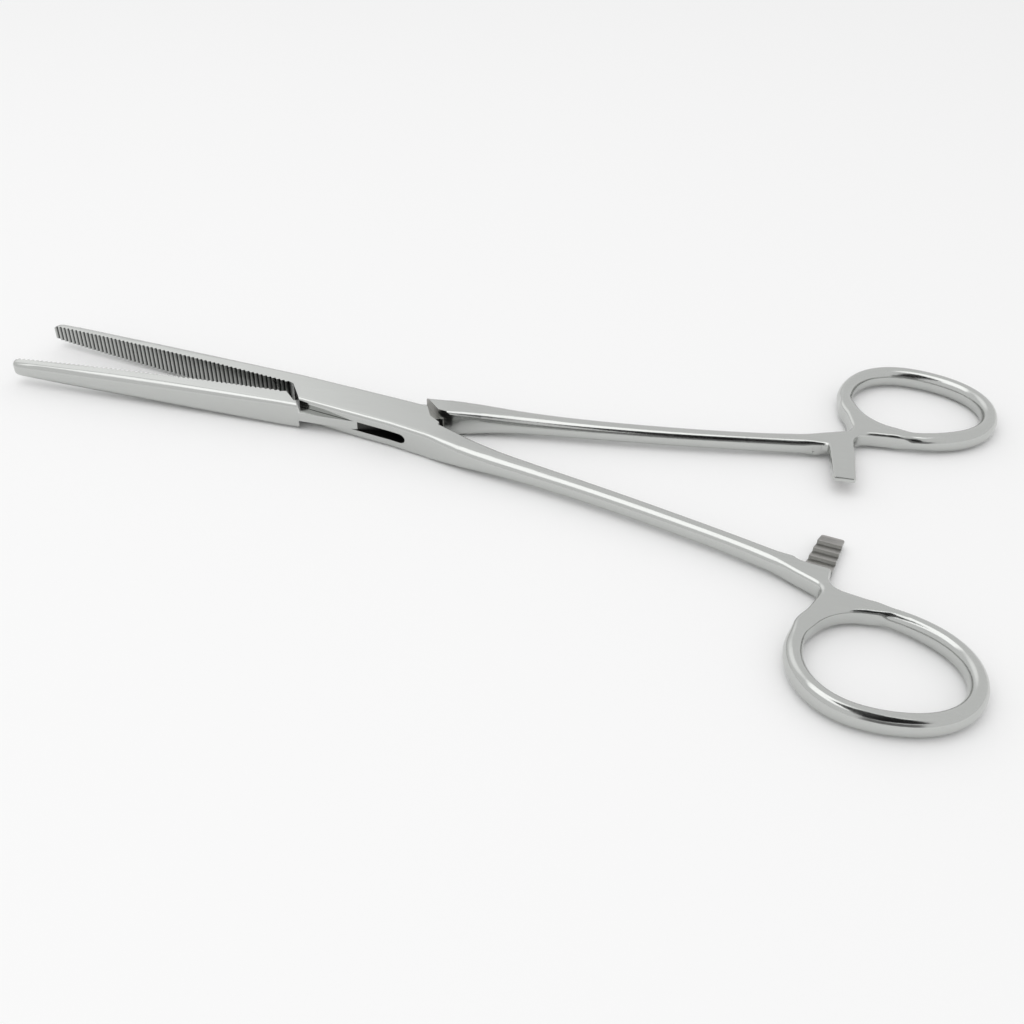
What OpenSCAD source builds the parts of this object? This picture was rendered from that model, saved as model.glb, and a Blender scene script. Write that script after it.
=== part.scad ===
/* [Pose] */
// Angle between the two jaws at rest, in degrees
opening = 10.4; // [0:0.1:30]

/* [Box lock] */
// Width of the box at its rear shoulders
box_w = 9.2; // [8:0.1:12]
// How much narrower the box is at its front shoulders
box_taper = 0.8; // [0:0.1:2]
// Thickness of the box
box_h = 5.8; // [5:0.1:8]
// Pivot to the inner end of each slanted shoulder
shoulder_in = 16; // [14:0.1:19]
// Pivot to the outer end of each slanted shoulder
shoulder_out = 11.8; // [9.5:0.1:13]
// Edge radius of the box
box_edge = 0.95; // [0.5:0.05:1.5]
// Height of the slot through the box
slot_h = 2.05; // [1.6:0.05:3]
// Gap above and below the tongue
tongue_play = 0.08; // [0.04:0.01:0.2]
// Gap at the shoulders and at the ends of the slot
shoulder_play = 0.12; // [0.05:0.01:0.3]
// Diameter of the pivot pin
pin_d = 3.8; // [2.5:0.1:5]
// Radial gap between the pin and the tongue
pin_play = 0.05; // [0.02:0.01:0.1]

/* [Jaws] */
// Length of each jaw in front of its shoulder
jaw_l = 60.2; // [40:0.1:75]
// Width of one jaw near its tip
tip_w = 2.15; // [1.6:0.05:3.5]
// Height of the jaws at the tip
tip_h = 3.15; // [2:0.1:4]
// Plan radius of the blunt tip
tip_r = 1.6; // [0.8:0.1:2]
// Gap between the two serrated faces when closed
bite_gap = 0.1; // [0.04:0.01:0.3]
// Spacing of the cross serrations
serration_pitch = 1.04; // [0.8:0.01:1.6]
// Depth of the cross serrations
serration_depth = 0.38; // [0.2:0.01:0.6]

/* [Shanks] */
// Pivot to the ratchet web along the instrument
web_x = 92; // [70:0.5:120]
// Centre line to the shank where it enters the web
web_y = 12.1; // [9:0.1:16]
// Width of a shank at mid length
shank_w = 3.5; // [2.8:0.1:5]
// Height of a shank at mid length
shank_h = 3.55; // [2.8:0.1:5]
// Clear gap between the shanks just behind the box
crotch_gap = 0.6; // [0.3:0.05:1.2]

/* [Finger rings] */
// Web to the middle of the ring along the instrument
ring_reach = 15.7; // [13:0.1:20]
// Centre line to the middle of the ring
ring_y = 28.95; // [25:0.1:34]
// Mean radius of the ring's centre line
ring_r = 13.1; // [11:0.1:15]
// Width of the ring's section in plan
ring_w = 3.4; // [2.6:0.1:4.5]
// Height of the ring's section
ring_h = 4.4; // [3:0.1:5.4]

/* [Ratchet] */
// Thickness of the flat web and of both arms together
web_h = 3.6; // [2.8:0.1:4.2]
// Fillet between the ratchet arm and the ring
web_fillet = 3; // [1.5:0.1:4]
// Edge radius of the web and the arms
web_edge = 0.45; // [0.2:0.05:0.8]
// Width of each ratchet arm where it leaves the shank
arm_w = 4.9; // [3.5:0.1:6]
// Width of each ratchet arm at its free end
arm_end_w = 4.2; // [3:0.1:6]
// Fillet between the ratchet arm and the shank
arm_fillet = 1.1; // [0.6:0.1:1.6]
// How far each arm passes the centre line with the jaws closed
arm_over = 1; // [0:0.1:2]
// Spacing of the ratchet teeth
ratchet_pitch = 2.35; // [1.8:0.05:3]
// Height of the ratchet teeth
ratchet_tooth = 0.75; // [0.4:0.05:1]
// Gap between the tips of the two rows of teeth
ratchet_play = 0.2; // [0.1:0.05:0.5]
// Bare end of each arm past its first tooth, and its corner radius
arm_bevel = 0.5; // [0.2:0.05:1.2]

/* [Hidden] */
steel = [0.78, 0.79, 0.79];
pin_steel = [0.7, 0.71, 0.72];
cut_over = box_w;                        // how far a cut runs past the metal
ratchet_teeth = 4;

// shares that shape the forging
oval_share = 0.0906;                     // how far each ring is from a circle
egg_share = 0.028;                       // how much blunter its near end is
jaw_width_share = 0.85;                  // bow of the jaws' sides in plan, as a power
jaw_height_share = 2.3;                  // bow of the jaws' backs in side view, as a power
jaw_round_share = 0.7;                   // rounding of the jaws' outer edges, of the half height
serration_flat_share = 0.2;              // flat land on each serration
shank_round_share = 0.8;                 // rounding of the shanks' edges, of the half height
land_share = 0.12;                       // flat land on each ratchet tooth
// rounding of the tip: [share of the tip radius behind the end, share of the full width]
tip_shares = [[0, 0.52], [0.1, 0.7], [0.3, 0.86], [0.6, 0.96], [1, 1]];
// run of a shank: [share of its length, share of its way out to the web,
//                  its width of shank_w, its height between box (1) and mid length (0)]
shank_shares = [
    [0, 0, 1.43, 1], [0.04, 0.05, 1.43, 0.84], [0.1, 0.121, 1.36, 0.58], [0.18, 0.176, 1.24, 0.34],
    [0.3, 0.24, 1.11, 0.14], [0.42, 0.319, 1.03, 0.05], [0.56, 0.437, 0.99, 0], [0.7, 0.579, 0.95, 0],
    [0.82, 0.722, 0.95, 0.05], [0.93, 0.884, 1.08, 0.08], [1, 1, 1.23, -0.2]
];
// rounded nose of a shank on the web: [share of its width past the web, of its width, of its height]
nose_shares = [[0.3, 0.9, 0.9], [0.55, 0.7, 0.75], [0.75, 0.4, 0.55]];
// waist of the tongue behind the pivot on its jaw's side: [share of shoulder_in, share of the half width]
waist_shares = [[0.62, 0.5], [0.4, 0.68], [0.2, 0.83], [0, 0.93], [-0.2, 0.98], [-0.3, 1.5]];
heel_share = [0.89, 0.24];               // corner eased off the plates at their rear shoulder
crotch_share = 0.24;                     // corner eased off the shank behind the tongue, of its shoulder
// how far the web's edge lies out from a shank's middle: [share of the shank's length, of its half width]
web_run_shares = [[0.84, 0.3], [0.9, 0.6], [0.97, 1.1]];
arm_middle_share = [0.26, 0.41];         // middle of the arm past web_x, root and end, of its width
beside_share = 1.06;                     // height of the ring beside the web, of the web's
buried_shares = [0.88, 0.75];            // ring inside the web: of its own width, of the web's height
web_rim_shares = [0.4, 1.02];            // web's edge inside the ring and past it, of the ring's width

// worked-out sizes
mid_z = box_h / 2;
half_w = box_w / 2;
front_half_w = half_w - box_taper / 2;
slant = atan((shoulder_in - shoulder_out) / half_w);    // of the shoulders, from square across
slot_reach = shoulder_in * cos(slant) - slot_h / 2;     // pivot to the middle of each rounded slot end
tip_x = shoulder_in + jaw_l;
ring_x = web_x + ring_reach;
root_y = half_w * 0.62;                  // a shank's middle where it leaves the box
corner_steps = 5;
jaw_stations = 12;
shank_steps = 26;
ring_stations = 60;
ring_facets = 16;
tongue_h = slot_h - 2 * tongue_play;
web_top = web_h / 2;

// straight blend between two values
function mix(a, b, t) = a + (b - a) * t;

// smooth curve through the rows of a table, read at a value of its first column
function row_at(table, s, i = 0) =
    (i >= len(table) - 2 || s < table[i + 1][0]) ? i : row_at(table, s, i + 1);
function slope(table, i, col) =
    let (a = max(i - 1, 0), b = min(i + 1, len(table) - 1))
    (table[b][col] - table[a][col]) / (table[b][0] - table[a][0]);
function along(table, s, col) =
    let (i = row_at(table, s), d = table[i + 1][0] - table[i][0], t = (s - table[i][0]) / d)
    table[i][col] * (1 + 2 * t) * pow(1 - t, 2) + table[i + 1][col] * t * t * (3 - 2 * t)
    + slope(table, i, col) * d * t * pow(1 - t, 2) - slope(table, i + 1, col) * d * t * t * (1 - t);

// section across the instrument: a rectangle between two sides with four rounded edges
function section(x, low, high, h, r) = [
    for (corner = [0:3], k = [0:corner_steps])
        let (a = corner * 90 + k * 90 / corner_steps,
             y = (corner == 0 || corner == 3) ? high - r : low + r,
             z = corner < 2 ? h - r : r - h)
        [x, y + r * cos(a), z + r * sin(a)]
];

// skin over a list of sections with equal numbers of points, closed at both ends
module loft(sections) {
    n = len(sections[0]);
    last = len(sections) - 1;
    polyhedron(
        points = [for (s = sections) for (p = s) p],
        faces = concat(
            [[for (k = [0:n - 1]) k]],
            [[for (k = [0:n - 1]) last * n + n - 1 - k]],
            [for (i = [0:last - 1], k = [0:n - 1]) [i * n + k, (i + 1) * n + k, i * n + (k + 1) % n]],
            [for (i = [0:last - 1], k = [0:n - 1])
                [(i + 1) * n + k, (i + 1) * n + (k + 1) % n, i * n + (k + 1) % n]]
        )
    );
}

// half width and half height of the closed jaws, s = 0 at the tip and 1 at the shoulder
function jaw_half_w(s) = mix(tip_w, front_half_w, pow(s, jaw_width_share));
function jaw_half_h(s) = mix(box_h, tip_h, pow(1 - s, jaw_height_share)) / 2;
function jaw_round(s) = mix(jaw_half_h(s) * jaw_round_share, box_edge, s * s);
function jaw_section(s, w_share = 1) =
    let (w = jaw_half_w(s) * w_share)
    section(-tip_x + s * jaw_l, -w, w, jaw_half_h(s) * mix(1, w_share, 0.5), jaw_round(s) * w_share);

// middle, half width and half height of a shank, s = 0 behind the box and 1 at the web
function shank_y(s) = -mix(root_y, web_y, along(shank_shares, s, 1));
function shank_half_w(s) = shank_w / 2 * along(shank_shares, s, 2);
function shank_half_h(s) = mix(shank_h, box_h, along(shank_shares, s, 3)) / 2;
function shank_x(s) = mix(shoulder_in + box_edge, web_x, s);
function shank_section(s, w_share = 1, h_share = 1, past = 0) =
    let (w = shank_half_w(s) * w_share, h = shank_half_h(s) * h_share)
    section(shank_x(s) + past, shank_y(s) + past * -0.45 - w, shank_y(s) + past * -0.45 + w, h,
            mix(box_edge, min(w, h) * shank_round_share, min(1, s * 5)));

// the forging's outer skin with the instrument closed: both jaws, the box and one shank
module forging_skin() {
    loft(concat(
        [for (t = tip_shares) jaw_section(t[0] * tip_r / jaw_l, t[1])],
        [for (i = [1:jaw_stations]) jaw_section(mix(tip_r / jaw_l, 1, i / jaw_stations))],
        [section(shoulder_out * 0.7, -half_w, half_w, mid_z, box_edge)],
        [section(shoulder_in, -half_w * 1.13, half_w, mid_z, box_edge)],
        [for (i = [0:shank_steps]) shank_section(pow(i / shank_steps, 1.3))],
        [for (t = nose_shares) shank_section(1, t[1], t[2], t[0] * shank_w)]
    ));
}

// a point on a line from the inner to the outer end of a shoulder, run on past the side of the box
function shoulder(end, side, share, inset = 0) =
    [end * (mix(shoulder_in, shoulder_out, share) - inset), side * mix(0, half_w, share)];

// zigzag along a jaw's bite face, from the tip to the shoulder
function bite_edge() = [
    for (i = [0:floor(jaw_l / serration_pitch) - 1], k = [0:2])
        [-tip_x + (i + [0, serration_flat_share, (1 + serration_flat_share) / 2][k]) * serration_pitch,
         bite_gap / 2 + (k == 2 ? serration_depth : 0)]
];

// plan of the slotted half: jaw, plates between the two shoulders, and shank
module slotted_plan() {
    polygon(concat(
        [[-tip_x - cut_over, cut_over * 2], [-tip_x - cut_over, bite_gap / 2]],
        bite_edge(),
        [[-shoulder_in, bite_gap / 2], shoulder(-1, -1, 1), shoulder(-1, -1, 3)],
        [[shoulder_in, -ring_y], [web_x + cut_over, -ring_y], [web_x + cut_over, -crotch_gap / 2]],
        [[shoulder_in + box_edge, -crotch_gap / 2], [heel_share[0] * shoulder_in, heel_share[1] * half_w]],
        [shoulder(1, 1, 1), shoulder(1, 1, 2)]
    ));
}

// plan of the tongue half's full-height metal: its jaw, then its shank
module tongue_jaw_plan() {
    polygon(concat(
        [[-tip_x - cut_over, cut_over * 2], [-tip_x - cut_over, bite_gap / 2]],
        bite_edge(),
        [[-shoulder_in - shoulder_play, bite_gap / 2], shoulder(-1, 1, 1, -shoulder_play)],
        [shoulder(-1, 1, 3, -shoulder_play)]
    ));
}

module tongue_shank_plan() {
    polygon([
        [shoulder_in + 3 * box_edge, -crotch_gap / 2], shoulder(1, -1, crotch_share, -shoulder_play),
        shoulder(1, -1, 1, -shoulder_play),
        shoulder(1, -1, 3, -shoulder_play), [shoulder_in, -ring_y], [web_x + cut_over, -ring_y],
        [web_x + cut_over, -crotch_gap / 2]
    ]);
}

// plan of the tongue, seated in both full-height parts, with a waist on either side
module tongue_plan() {
    seat = shoulder_in + shoulder_play;
    corner_x = 0.3 * slot_h;             // keeps the tongue out of the slot's rounded ends
    polygon(concat(
        [[seat, -half_w], [seat, -crotch_gap], [shoulder_in - corner_x, -crotch_gap]],
        [[shoulder_in - 2.7 * corner_x, 0]],
        [for (t = waist_shares) [t[0] * shoulder_in, t[1] * half_w]],
        [[-seat, half_w], [-seat, crotch_gap], [-shoulder_in + corner_x, crotch_gap]],
        [[-shoulder_in + 2.7 * corner_x, 0]],
        [for (t = waist_shares) [-t[0] * shoulder_in, -t[1] * half_w]]
    ));
}

// the slot: round-ended at the root of the jaw and of the shank, open at both sides of the box
module slot_cut() {
    rotate([90, 0, -slant])
        linear_extrude(4 * cut_over, center = true) {
            square([2 * slot_reach, slot_h], center = true);
            for (end = [-1, 1])
                translate([end * slot_reach, 0])
                    circle(d = slot_h, $fn = 32);
        }
}

// closed oval tube of one finger ring, lower towards the web and inside it
function ring_radius(a) = ring_r * (1 + oval_share * cos(2 * a) + egg_share * cos(3 * a));
function ring_point(a) = [ring_x + ring_radius(a) * cos(a), -ring_y + ring_radius(a) * sin(a)];
function ring_outward(a) = let (d = ring_point(a + 1) - ring_point(a - 1)) [d[1], -d[0]] / norm(d);
function ring_side(a, w_share) = ring_point(a) + ring_outward(a) * w_share * ring_w / 2;
function near_web(a) = min(1, max(0, 84 - abs(a - 136)) / 36);
function in_web(a) = min(1, max(0, 47 - abs(a - 136)) / 17);
function ring_section(a) =
    let (w_share = mix(1, buried_shares[0], in_web(a)),
         beside = mix(ring_h / 2, web_top * beside_share, near_web(a)),
         h = mix(beside, web_top * buried_shares[1], in_web(a)))
    [for (k = [0:ring_facets - 1])
        let (b = (k + 0.5) * 360 / ring_facets, p = ring_side(a, w_share * cos(b)))
        [p[0], p[1], h * sin(b)]];
function web_rim(a, side) = ring_side(a, side * mix(web_rim_shares[0], web_rim_shares[1], in_web(a)));

module finger_ring() {
    m = ring_facets;
    n = ring_stations;
    function id(i, k) = (i % n) * m + k % m;
    polyhedron(
        points = [for (i = [0:n - 1]) for (p = ring_section(i * 360 / n)) p],
        faces = concat(
            [for (i = [0:n - 1], k = [0:m - 1]) [id(i, k), id(i, k + 1), id(i + 1, k)]],
            [for (i = [0:n - 1], k = [0:m - 1]) [id(i + 1, k), id(i, k + 1), id(i + 1, k + 1)]]
        )
    );
}

function unit(v) = v / norm(v);

// corner p of an outline between its neighbours a and b, rounded to a radius
function rounded(a, p, b, r) =
    let (u = unit(a - p), v = unit(b - p), half = acos(u * v) / 2, turn = 180 - 2 * half,
         c = p + unit(u + v) * r / sin(half),
         from = p + u * r / tan(half) - c, to = p + v * r / tan(half) - c)
    [for (k = [0:corner_steps])
        let (t = k / corner_steps) c + (from * sin(turn * (1 - t)) + to * sin(turn * t)) / sin(turn)];

// a point on the edge of the shank, side -1 away from the centre line
function shank_side(s, side, w_share) = [shank_x(s), shank_y(s) + side * shank_half_w(s) * w_share];

// a point on the edge of the ratchet arm, t = 0 at the shank's middle and 1 at its free end
function arm_side(t, side) = [
    web_x + arm_w * mix(arm_middle_share[0], arm_middle_share[1], t) + side * mix(arm_w, arm_end_w, t) / 2,
    mix(-web_y, arm_over, t)
];

// outline of the flat web: out of the shank, round the near side of the ring, and out along the arm
function web_outline() =
    let (last = len(web_run_shares) - 1,
         from = shank_side(web_run_shares[last][0], -1, web_run_shares[last][1]))
    concat(
        [for (t = web_run_shares) shank_side(t[0], -1, t[1])],
        rounded(from, [web_x + arm_w * 0.68, -web_y - shank_w * 1.07], web_rim(150, 1), web_fillet * 0.6),
        [for (a = [153:6:183]) web_rim(a, 1)],
        [for (a = [184:-5:84]) web_rim(a, -1)],
        [for (a = [85:5:110]) web_rim(a, 1)],
        rounded(web_rim(110, 1), [arm_side(0, 1)[0], -web_y - shank_w * 0.82], arm_side(0.2, 1), web_fillet),
        rounded(arm_side(0.5, 1), arm_side(1, 1), arm_side(1, -1), arm_bevel),
        rounded(arm_side(1, 1), arm_side(1, -1), arm_side(0.5, -1), arm_bevel),
        rounded(arm_side(0.6, -1), [arm_side(0, -1)[0], -web_y + shank_w * 0.63],
                shank_side(web_run_shares[last][0], 1, 1), arm_fillet),
        [for (i = [last:-1:0]) shank_side(web_run_shares[i][0], 1, web_run_shares[i][1])]
    );

// an outline drawn in by a distance
function drawn_in(outline, inset) =
    let (n = len(outline))
    [for (i = [0:n - 1])
        let (d = unit(outline[(i + 1) % n] - outline[(i + n - 1) % n]))
        outline[i] + inset * [-d[1], d[0]]];

// flat web and ratchet arm at full thickness, with rounded edges
module web() {
    outline = web_outline();
    steps = 2;
    loft([
        for (face = [-1, 1], k = [0:steps])
            let (a = face < 0 ? 90 - 90 * k / steps : 90 * k / steps)
            [for (p = drawn_in(outline, web_edge * (1 - cos(a))))
                [p[0], p[1], face * (web_top - web_edge * (1 - sin(a)))]]
    ]);
}

// what is cut from the upper half of the arm: its teeth point upward, steep sides to the shank
module tooth_gap() {
    top = -ratchet_play / 2;
    valley = top - ratchet_tooth;
    land = land_share * ratchet_pitch;
    first = arm_over - arm_bevel;
    translate([web_x - arm_w * 0.55, 0, 0])
        rotate([90, 0, 90])
            linear_extrude(arm_w * 2)
                polygon(concat(
                    [[arm_over + cut_over, web_h], [arm_over + cut_over, valley]],
                    [for (k = [0:ratchet_teeth - 1], j = [0:2])
                        [first - k * ratchet_pitch - [0, ratchet_pitch - land, ratchet_pitch][j],
                         j == 0 ? valley : top]],
                    [[-web_y + shank_w * 0.7, top], [-web_y + shank_w * 0.7 - web_h * 0.45, web_h]]
                ));
}

// finger ring, web and ratchet arm with its teeth upward, as one closed shell at its own size
module handle_end() {
    resize([0, 0, 0])
        difference() {
            union() {
                finger_ring();
                web();
            }
            tooth_gap();
        }
}

module slotted_half() {
    color(steel)
        translate([0, 0, mid_z])
            rotate([0, 0, -opening / 2])
                difference() {
                    union() {
                        intersection() {
                            forging_skin();
                            linear_extrude(box_h * 2, center = true) slotted_plan();
                        }
                        handle_end();
                    }
                    slot_cut();
                    cylinder(h = box_h * 2, d = pin_d, center = true, $fn = 64);
                }
}

module tongue_half() {
    color(steel)
        translate([0, 0, mid_z])
            rotate([0, 0, opening / 2])
                mirror([0, 1, 0])
                    difference() {
                        union() {
                            intersection() {
                                forging_skin();
                                union() {
                                    linear_extrude(box_h * 2, center = true) tongue_jaw_plan();
                                    linear_extrude(box_h * 2, center = true) tongue_shank_plan();
                                    linear_extrude(tongue_h, center = true) tongue_plan();
                                }
                            }
                            mirror([0, 0, 1]) handle_end();
                        }
                        cylinder(h = box_h * 2, d = pin_d + 2 * pin_play, center = true, $fn = 64);
                    }
}

module pivot_pin() {
    color(pin_steel)
        rotate([0, 0, -opening / 2])
            cylinder(h = box_h, d = pin_d, $fn = 64);
}

slotted_half();
tongue_half();
pivot_pin();
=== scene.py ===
import math

import bmesh
import bpy
from mathutils import Matrix, Vector


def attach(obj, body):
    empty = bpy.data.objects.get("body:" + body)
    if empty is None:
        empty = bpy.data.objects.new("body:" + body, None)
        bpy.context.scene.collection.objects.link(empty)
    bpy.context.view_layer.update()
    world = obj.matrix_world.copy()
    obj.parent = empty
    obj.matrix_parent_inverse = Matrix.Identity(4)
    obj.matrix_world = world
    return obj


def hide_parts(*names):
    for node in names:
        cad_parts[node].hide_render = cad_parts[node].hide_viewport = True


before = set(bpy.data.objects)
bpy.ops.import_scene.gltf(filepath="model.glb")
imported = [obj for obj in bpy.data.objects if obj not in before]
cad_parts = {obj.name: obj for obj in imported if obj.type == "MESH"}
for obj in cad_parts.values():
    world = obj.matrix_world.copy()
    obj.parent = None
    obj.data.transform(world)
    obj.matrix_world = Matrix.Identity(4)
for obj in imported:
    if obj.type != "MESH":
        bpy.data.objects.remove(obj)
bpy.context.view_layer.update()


def newMaterial(name):
    mat = bpy.data.materials.new(name)
    mat.use_nodes = True
    mat.node_tree.nodes.clear()
    return mat, mat.node_tree.nodes, mat.node_tree.links


# Polished surgical steel: a faint lengthwise grain, and cloudy patches where the buffing wheel bore less
polished = {
    "tint": (0.55, 0.56, 0.545),
    "roughLow": 0.13,
    "roughHigh": 0.21,
    "grainScale": 4200.0,
    "grainStretch": 0.05,
    "cloudScale": 110.0,
    "toneSpread": 0.04,
    "bumpStrength": 0.05,
    "bumpDepth": 0.00002,
}
# Milled faces that no wheel reaches: the ratchet's teeth and the shoulders of the lock
milled = dict(
    polished,
    tint=(0.43, 0.42, 0.405),
    roughLow=0.3,
    roughHigh=0.42,
    grainStretch=1.0,
    toneSpread=0.15,
)
# The inside of the lock: a near-black tint that paints in the shade of the slot
paintedLockShade = dict(milled, tint=(0.05, 0.05, 0.048))
# Serrations: the lands and crests are polished, and each groove is given painted shade that darkens to its
# bottom
grooved = dict(
    polished,
    roughLow=0.2,
    roughHigh=0.3,
    crestDepth=0.00009,
    grooveDepth=0.00034,
    paintedGrooveTone=0.1,
)
# The pin's ends are ground flush and see less of the wheel than the halves
pinGround = dict(polished, roughLow=0.16, roughHigh=0.26)


# Painted shade for the serrations: share of the tone that is left at a depth under the bite's face, on a
# half turned by half the opening
def paintedGrooveShade(nodes, links, coords, look, side):
    turned = nodes.new("ShaderNodeMapping")
    turned.inputs["Rotation"].default_value = (0.0, 0.0, side * math.radians(forging["opening"] / 2))
    links.new(coords.outputs["Object"], turned.inputs["Vector"])
    axes = nodes.new("ShaderNodeSeparateXYZ")
    links.new(turned.outputs["Vector"], axes.inputs["Vector"])
    shade = nodes.new("ShaderNodeMapRange")
    shade.inputs["From Min"].default_value = side * look["crestDepth"]
    shade.inputs["From Max"].default_value = side * look["grooveDepth"]
    shade.inputs["To Min"].default_value = 1.0
    shade.inputs["To Max"].default_value = look["paintedGrooveTone"]
    links.new(axes.outputs["Y"], shade.inputs["Value"])
    return shade.outputs["Result"]


def makeSteel(name, look, side=0):
    mat, nodes, links = newMaterial(name)
    out = nodes.new("ShaderNodeOutputMaterial")
    shader = nodes.new("ShaderNodeBsdfPrincipled")
    shader.inputs["Metallic"].default_value = 1.0
    coords = nodes.new("ShaderNodeTexCoord")
    stretch = nodes.new("ShaderNodeMapping")
    stretch.inputs["Scale"].default_value = (look["grainStretch"], 1.0, 1.0)
    links.new(coords.outputs["Object"], stretch.inputs["Vector"])
    grain = nodes.new("ShaderNodeTexNoise")
    grain.inputs["Scale"].default_value = look["grainScale"]
    grain.inputs["Detail"].default_value = 4.0
    links.new(stretch.outputs["Vector"], grain.inputs["Vector"])
    cloud = nodes.new("ShaderNodeTexNoise")
    cloud.inputs["Scale"].default_value = look["cloudScale"]
    cloud.inputs["Detail"].default_value = 3.0
    links.new(coords.outputs["Object"], cloud.inputs["Vector"])
    rough = nodes.new("ShaderNodeMapRange")
    rough.inputs["From Min"].default_value = 0.3
    rough.inputs["From Max"].default_value = 0.7
    rough.inputs["To Min"].default_value = look["roughLow"]
    rough.inputs["To Max"].default_value = look["roughHigh"]
    links.new(cloud.outputs["Fac"], rough.inputs["Value"])
    links.new(rough.outputs["Result"], shader.inputs["Roughness"])
    tone = nodes.new("ShaderNodeValToRGB")
    spread = look["toneSpread"]
    tone.color_ramp.elements[0].color = tuple(c * (1.0 - spread) for c in look["tint"]) + (1.0,)
    tone.color_ramp.elements[1].color = tuple(c * (1.0 + spread) for c in look["tint"]) + (1.0,)
    links.new(grain.outputs["Fac"], tone.inputs["Fac"])
    # Painted shade: the tone is multiplied darker with depth into the serration grooves
    if side:
        paintedGrooveMix = nodes.new("ShaderNodeMix")
        paintedGrooveMix.data_type = "RGBA"
        paintedGrooveMix.blend_type = "MULTIPLY"
        paintedGrooveMix.inputs["Factor"].default_value = 1.0
        links.new(tone.outputs["Color"], paintedGrooveMix.inputs["A"])
        links.new(paintedGrooveShade(nodes, links, coords, look, side), paintedGrooveMix.inputs["B"])
        links.new(paintedGrooveMix.outputs["Result"], shader.inputs["Base Color"])
    else:
        links.new(tone.outputs["Color"], shader.inputs["Base Color"])
    bump = nodes.new("ShaderNodeBump")
    bump.inputs["Strength"].default_value = look["bumpStrength"]
    bump.inputs["Distance"].default_value = look["bumpDepth"]
    links.new(grain.outputs["Fac"], bump.inputs["Height"])
    links.new(bump.outputs["Normal"], shader.inputs["Normal"])
    links.new(shader.outputs["BSDF"], out.inputs["Surface"])
    return mat


# Places in a half's own frame: x from the pivot to the rings, y out of the bite, z up from mid height
forging = {
    "mergeGap": 2e-6,
    "shortestEdge": 1e-6,
    "flatAngle": 0.6,
    "sharpAngle": 26.0,
    "opening": 10.4,
    "midHeight": 0.0029,
    "biteStart": -0.0763,
    "biteEnd": -0.0158,
    "biteDepth": 0.0006,
    "armStart": 0.0895,
    "armEnd": 0.0975,
    "armReach": -0.0098,
    "toothZone": 0.00096,
    "lockReach": 0.0161,
    "slotHeight": 0.00205,
    "slotSlack": 0.00002,
    "plateSide": 0.0041,
    "shoulderReach": 0.0172,
}
# Rings, webs and shanks are blended softly, as the forging's flash is ground off by hand
handle = {
    "start": 0.0235,
    "overlap": 0.002,
    "settle": 0.012,
    "armCut": -0.0094,
    "armSide": 0.088,
    "armMargin": 0.001,
    "grain": 0.00022,
    "smoothings": 36,
}


# A point of the model in a half's own frame
def ownPlace(point, side):
    turn = math.radians(forging["opening"] / 2) * side
    x = point.x * math.cos(turn) - point.y * math.sin(turn)
    y = (point.x * math.sin(turn) + point.y * math.cos(turn)) * side
    return Vector((x, y, (point.z - forging["midHeight"]) * side))


# Which finish a face gets: 0 polished, 1 milled teeth and shoulders, 2 serrations with painted shade in
# their grooves, 3 the inside of the lock, painted near-black as shade
def finishOf(face, side):
    place = ownPlace(face.calc_center_median(), side)
    flat = abs(face.normal.z)
    if forging["biteStart"] < place.x < forging["biteEnd"]:
        return 2 if 0.0 < place.y < forging["biteDepth"] and flat < 0.5 else 0
    if forging["armStart"] < place.x < forging["armEnd"] and place.y > forging["armReach"]:
        return 1 if -forging["toothZone"] < place.z < 0.0 and face.normal.z * side > 0.2 else 0
    # Faces inside the slot get the near-black painted shade of finish 3
    slotHalf = forging["slotHeight"] / 2 + forging["slotSlack"]
    inside = abs(place.x) < forging["lockReach"] and abs(place.z) < slotHalf
    if inside and (side > 0 and flat > 0.9 or flat < 0.9 and abs(place.y) < forging["plateSide"]):
        return 3
    if abs(place.x) < forging["shoulderReach"] and flat < 0.3 and abs(face.normal.x) > 0.35:
        return 1
    return 0


# Cuts along a plane that is given in a half's own frame
def cutAt(bm, geom, place, normal, side, clearOuter=False, clearInner=False):
    turn = Matrix.Rotation(-math.radians(forging["opening"] / 2) * side, 3, "Z")
    bmesh.ops.bisect_plane(
        bm,
        geom=geom,
        plane_co=turn @ Vector(place),
        plane_no=turn @ Vector(normal),
        clear_outer=clearOuter,
        clear_inner=clearInner,
    )


# Closes what a cut left open, with a hard rim so that the shading doesn't bend there
def capEnds(bm):
    rims = [e for e in bm.edges if e.is_boundary]
    if rims:
        bmesh.ops.holes_fill(bm, edges=rims)
    for rim in rims:
        rim.smooth = False


def allOf(bm):
    return bm.verts[:] + bm.edges[:] + bm.faces[:]


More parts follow.
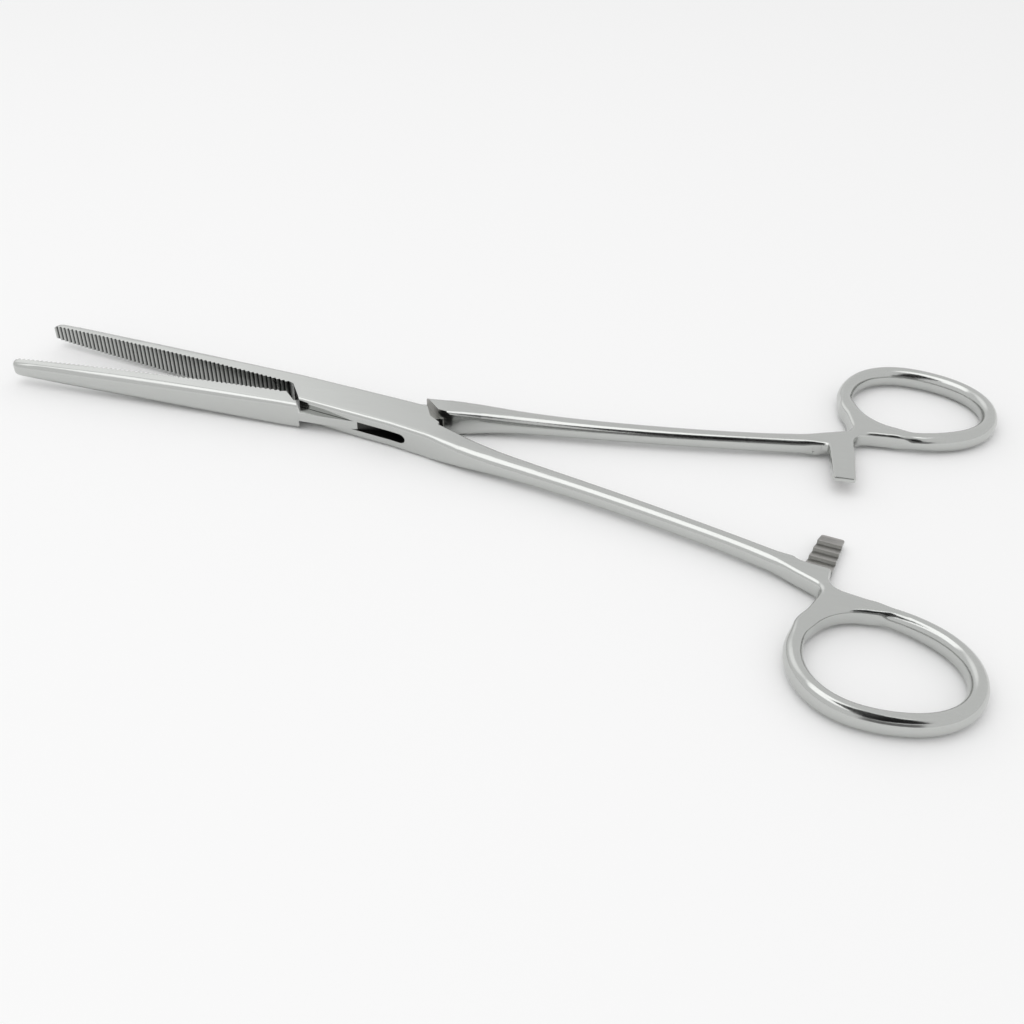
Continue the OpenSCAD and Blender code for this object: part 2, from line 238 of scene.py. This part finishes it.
# The handle of a half, remeshed evenly and smoothed, then cut where it meets the crisp parts
def softHandle(solid, side):
    bm = solid.copy()
    begin = handle["start"] - handle["overlap"]
    cutAt(bm, allOf(bm), (begin, 0.0, 0.0), (1.0, 0.0, 0.0), side, clearInner=True)
    capEnds(bm)
    mesh = bpy.data.meshes.new("roughHandle")
    bm.to_mesh(mesh)
    bm.free()
    rough = bpy.data.objects.new("roughHandle", mesh)
    bpy.context.scene.collection.objects.link(rough)
    even = rough.modifiers.new("even", "REMESH")
    even.mode = "VOXEL"
    even.voxel_size = handle["grain"]
    bpy.context.view_layer.update()
    evaluated = rough.evaluated_get(bpy.context.evaluated_depsgraph_get())
    bm = bmesh.new()
    bm.from_mesh(evaluated.to_mesh())
    evaluated.to_mesh_clear()
    bpy.data.objects.remove(rough)
    bpy.data.meshes.remove(mesh)
    reach = {v: ownPlace(v.co, side).x - handle["start"] for v in bm.verts}
    for turn in range(handle["smoothings"]):
        begin = handle["settle"] * turn / handle["smoothings"]
        soft = [v for v in bm.verts if reach[v] > begin]
        bmesh.ops.smooth_vert(bm, verts=soft, factor=0.5, use_axis_x=True, use_axis_y=True, use_axis_z=True)
    cutAt(bm, allOf(bm), (handle["start"], 0.0, 0.0), (1.0, 0.0, 0.0), side, clearInner=True)
    capEnds(bm)
    margin = handle["armMargin"]
    inArm = {f for f in bm.faces if beyondArmCut(f.calc_center_median(), side, margin)}
    near = list({v for f in inArm for v in f.verts} | {e for f in inArm for e in f.edges}) + list(inArm)
    cutAt(bm, near, (0.0, handle["armCut"] * side, 0.0), (0.0, side, 0.0), side)
    arm = [f for f in bm.faces if beyondArmCut(f.calc_center_median(), side, 0.0)]
    bmesh.ops.delete(bm, geom=arm, context="FACES")
    capEnds(bm)
    for face in bm.faces:
        face.smooth = True
        face.material_index = 0
    return bm


# True for a place in the ratchet arm, which keeps the solid's crisp faces
def beyondArmCut(point, side, margin):
    place = ownPlace(point, side)
    return place.x > handle["armSide"] and place.y > handle["armCut"] - margin


# Adds the faces of one bmesh to another
def addFaces(bm, extra):
    mesh = bpy.data.meshes.new("joined")
    extra.to_mesh(mesh)
    bm.from_mesh(mesh)
    bpy.data.meshes.remove(mesh)
    extra.free()


# A forging: crisp jaw, box and ratchet arm as the solid has them, and a softly blended handle between them
def finishedForging(nodeName, pieceName, body, mats, side):
    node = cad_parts[nodeName]
    bm = bmesh.new()
    bm.from_mesh(node.data)
    bm.transform(node.matrix_world)
    bmesh.ops.remove_doubles(bm, verts=bm.verts, dist=forging["mergeGap"])
    bmesh.ops.dissolve_degenerate(bm, edges=bm.edges, dist=forging["shortestEdge"])
    if side:
        soft = softHandle(bm, side)
        arm = bm.copy()
        cutAt(arm, allOf(arm), (handle["armSide"], 0.0, 0.0), (1.0, 0.0, 0.0), side, clearInner=True)
        cutAt(arm, allOf(arm), (0.0, handle["armCut"] * side, 0.0), (0.0, side, 0.0), side, clearInner=True)
        capEnds(arm)
        cutAt(bm, allOf(bm), (handle["start"], 0.0, 0.0), (1.0, 0.0, 0.0), side, clearOuter=True)
        capEnds(bm)
        addFaces(bm, arm)
    flat = math.radians(forging["flatAngle"])
    bmesh.ops.dissolve_limit(bm, angle_limit=flat, verts=bm.verts, edges=bm.edges)
    for face in bm.faces:
        face.smooth = True
        face.material_index = finishOf(face, side) if side else 0
    limit = math.radians(forging["sharpAngle"])
    for edge in bm.edges:
        edge.smooth = edge.calc_face_angle(math.pi) < limit
    if side:
        addFaces(bm, soft)
    mesh = bpy.data.meshes.new(pieceName)
    bm.to_mesh(mesh)
    bm.free()
    piece = bpy.data.objects.new(pieceName, mesh)
    bpy.context.scene.collection.objects.link(piece)
    for mat in mats:
        mesh.materials.append(mat)
    flatten = piece.modifiers.new("flatsKeepFlat", "WEIGHTED_NORMAL")
    flatten.keep_sharp = True
    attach(piece, body)
    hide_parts(nodeName)
    kinds = [sum(1 for p in mesh.polygons if p.material_index == k) for k in range(4)]
    print(pieceName, "made:", len(mesh.polygons), "faces, by finish", kinds)


steel = makeSteel("polishedSteel", polished)
milledSteel = makeSteel("milledSteel", milled)
# The lock steel is painted near-black as shade, and the serration steels carry painted shade in their
# grooves
paintedLockShadeSteel = makeSteel("paintedLockShadeSteel", paintedLockShade)
pinSteel = makeSteel("pinSteel", pinGround)
nearBite = makeSteel("serratedSteelNear", grooved, 1)
farBite = makeSteel("serratedSteelFar", grooved, -1)
print("steels made")

nearMats = (steel, milledSteel, nearBite, paintedLockShadeSteel)
farMats = (steel, milledSteel, farBite, paintedLockShadeSteel)
finishedForging("slotted_half", "slottedHalfForging", "box_half", nearMats, 1)
finishedForging("tongue_half", "tongueHalfForging", "tongue_half", farMats, -1)
finishedForging("pivot_pin", "pivotPinBody", "box_half", (pinSteel,), 0)

# Floor: it just meets the underside of the box and of the two rings
floorLook = {
    "span": 3.0,
    "rise": 0.0076,
    "pivot": 0.016,
    "drop": 0.00005,
    "tone": 0.95,
    "toneSpread": 0.01,
    "cloudScale": 3.0,
}


def makeFloor(values):
    mat, nodes, links = newMaterial("paleFloor")
    out = nodes.new("ShaderNodeOutputMaterial")
    shader = nodes.new("ShaderNodeBsdfDiffuse")
    coords = nodes.new("ShaderNodeTexCoord")
    noise = nodes.new("ShaderNodeTexNoise")
    noise.inputs["Scale"].default_value = values["cloudScale"]
    links.new(coords.outputs["Object"], noise.inputs["Vector"])
    ramp = nodes.new("ShaderNodeValToRGB")
    low = values["tone"]
    high = low + values["toneSpread"]
    ramp.color_ramp.elements[0].color = (low, low, low, 1.0)
    ramp.color_ramp.elements[1].color = (high, high, high, 1.0)
    links.new(noise.outputs["Fac"], ramp.inputs["Fac"])
    links.new(ramp.outputs["Color"], shader.inputs["Color"])
    links.new(shader.outputs["BSDF"], out.inputs["Surface"])
    bm = bmesh.new()
    bmesh.ops.create_grid(bm, x_segments=1, y_segments=1, size=values["span"] / 2)
    for v in bm.verts:
        v.co.z = (v.co.x - values["pivot"]) * values["rise"] - values["drop"]
    mesh = bpy.data.meshes.new("paleFloor")
    bm.to_mesh(mesh)
    bm.free()
    floor = bpy.data.objects.new("paleFloor", mesh)
    mesh.materials.append(mat)
    bpy.context.scene.collection.objects.link(floor)
    print("floor made")


makeFloor(floorLook)

# Studio: one large soft lamp overhead, pale surroundings, and two dark cards that only metal shows
studio = {
    "lampPlace": (-0.12, -0.17, 0.75),
    "lampTarget": (0.03, 0.0, 0.0),
    "lampSize": (0.72, 0.82),
    "lampPower": 1.6,
    "skyTone": 0.79,
    "wallTone": 0.82,
    "windowTone": 1.24,
    "windowSide": (-0.604, 0.507, 0.616),
    "windowEdge": 0.89,
    "cards": {
        "cameraCard": {"place": (0.108, -0.1, 0.12), "size": (0.1, 0.17), "tone": 0.01},
        "roomCard": {"place": (0.3, -0.66, 0.13), "size": (0.5, 0.28), "tone": 0.2},
    },
}


def addLamp(values):
    data = bpy.data.lights.new("overheadLamp", "AREA")
    data.shape = "RECTANGLE"
    data.size, data.size_y = values["lampSize"]
    data.energy = values["lampPower"]
    lamp = bpy.data.objects.new("overheadLamp", data)
    aim = Vector(values["lampTarget"]) - Vector(values["lampPlace"])
    lamp.location = values["lampPlace"]
    lamp.rotation_euler = aim.to_track_quat("-Z", "Y").to_euler()
    bpy.context.scene.collection.objects.link(lamp)


# A dark card that shows in the metal only
def addCard(name, values, target):
    mat, nodes, links = newMaterial(name)
    out = nodes.new("ShaderNodeOutputMaterial")
    glow = nodes.new("ShaderNodeEmission")
    glow.inputs["Color"].default_value = (values["tone"],) * 3 + (1.0,)
    links.new(glow.outputs["Emission"], out.inputs["Surface"])
    bm = bmesh.new()
    bmesh.ops.create_grid(bm, x_segments=1, y_segments=1, size=0.5)
    aim = Vector(target) - Vector(values["place"])
    turn = aim.to_track_quat("Z", "Y").to_matrix().to_4x4()
    size = Matrix.Diagonal((values["size"][0], values["size"][1], 1.0, 1.0))
    bm.transform(Matrix.Translation(values["place"]) @ turn @ size)
    mesh = bpy.data.meshes.new(name)
    bm.to_mesh(mesh)
    bm.free()
    card = bpy.data.objects.new(name, mesh)
    mesh.materials.append(mat)
    bpy.context.scene.collection.objects.link(card)
    card.visible_camera = False
    card.visible_diffuse = False
    card.visible_transmission = False
    card.visible_shadow = False


# Pale walls, a little brighter round one soft window behind the object
def makeWorld(values):
    world = bpy.data.worlds.new("studioWorld")
    bpy.context.scene.world = world
    world.use_nodes = True
    nodes, links = world.node_tree.nodes, world.node_tree.links
    nodes.clear()
    out = nodes.new("ShaderNodeOutputWorld")
    background = nodes.new("ShaderNodeBackground")
    path = nodes.new("ShaderNodeLightPath")
    coords = nodes.new("ShaderNodeTexCoord")
    towards = nodes.new("ShaderNodeVectorMath")
    towards.operation = "DOT_PRODUCT"
    towards.inputs[1].default_value = values["windowSide"]
    links.new(coords.outputs["Generated"], towards.inputs[0])
    window = nodes.new("ShaderNodeMapRange")
    window.interpolation_type = "SMOOTHSTEP"
    window.inputs["From Min"].default_value = values["windowEdge"]
    window.inputs["From Max"].default_value = 1.0
    window.inputs["To Min"].default_value = values["wallTone"]
    window.inputs["To Max"].default_value = values["windowTone"]
    links.new(towards.outputs["Value"], window.inputs["Value"])
    gloss = nodes.new("ShaderNodeMix")
    gloss.data_type = "FLOAT"
    gloss.inputs["A"].default_value = values["skyTone"]
    links.new(path.outputs["Is Glossy Ray"], gloss.inputs["Factor"])
    links.new(window.outputs["Result"], gloss.inputs["B"])
    seen = nodes.new("ShaderNodeMix")
    seen.data_type = "FLOAT"
    seen.inputs["B"].default_value = 1.0
    links.new(path.outputs["Is Camera Ray"], seen.inputs["Factor"])
    links.new(gloss.outputs["Result"], seen.inputs["A"])
    links.new(seen.outputs["Result"], background.inputs["Strength"])
    links.new(background.outputs["Background"], out.inputs["Surface"])
    background.inputs["Color"].default_value = (1.0, 1.0, 1.0, 1.0)


addLamp(studio)
for cardName, cardValues in studio["cards"].items():
    addCard(cardName, cardValues, studio["lampTarget"])
makeWorld(studio)
print("studio lit")

# Camera at the place the photograph was taken from
camera = {
    "place": (0.089409, -0.187471, 0.141575),
    "right": (0.951256, 0.307972, 0.016303),
    "down": (0.203528, -0.587179, -0.783452),
    "forward": (-0.231708, 0.748581, -0.621239),
    "lens": 43.493,
    "sensor": 36.0,
    "nearest": 0.01,
}
camData = bpy.data.cameras.new("photoCamera")
camData.sensor_width = camera["sensor"]
camData.lens = camera["lens"]
camData.clip_start = camera["nearest"]
cam = bpy.data.objects.new("photoCamera", camData)
right, down, forward = (Vector(camera[k]) for k in ("right", "down", "forward"))
turn = Matrix((right, -down, -forward)).transposed()
cam.matrix_world = Matrix.Translation(camera["place"]) @ turn.to_4x4()
bpy.context.scene.collection.objects.link(cam)
bpy.context.scene.camera = cam

bpy.context.scene.view_settings.view_transform = "Standard"
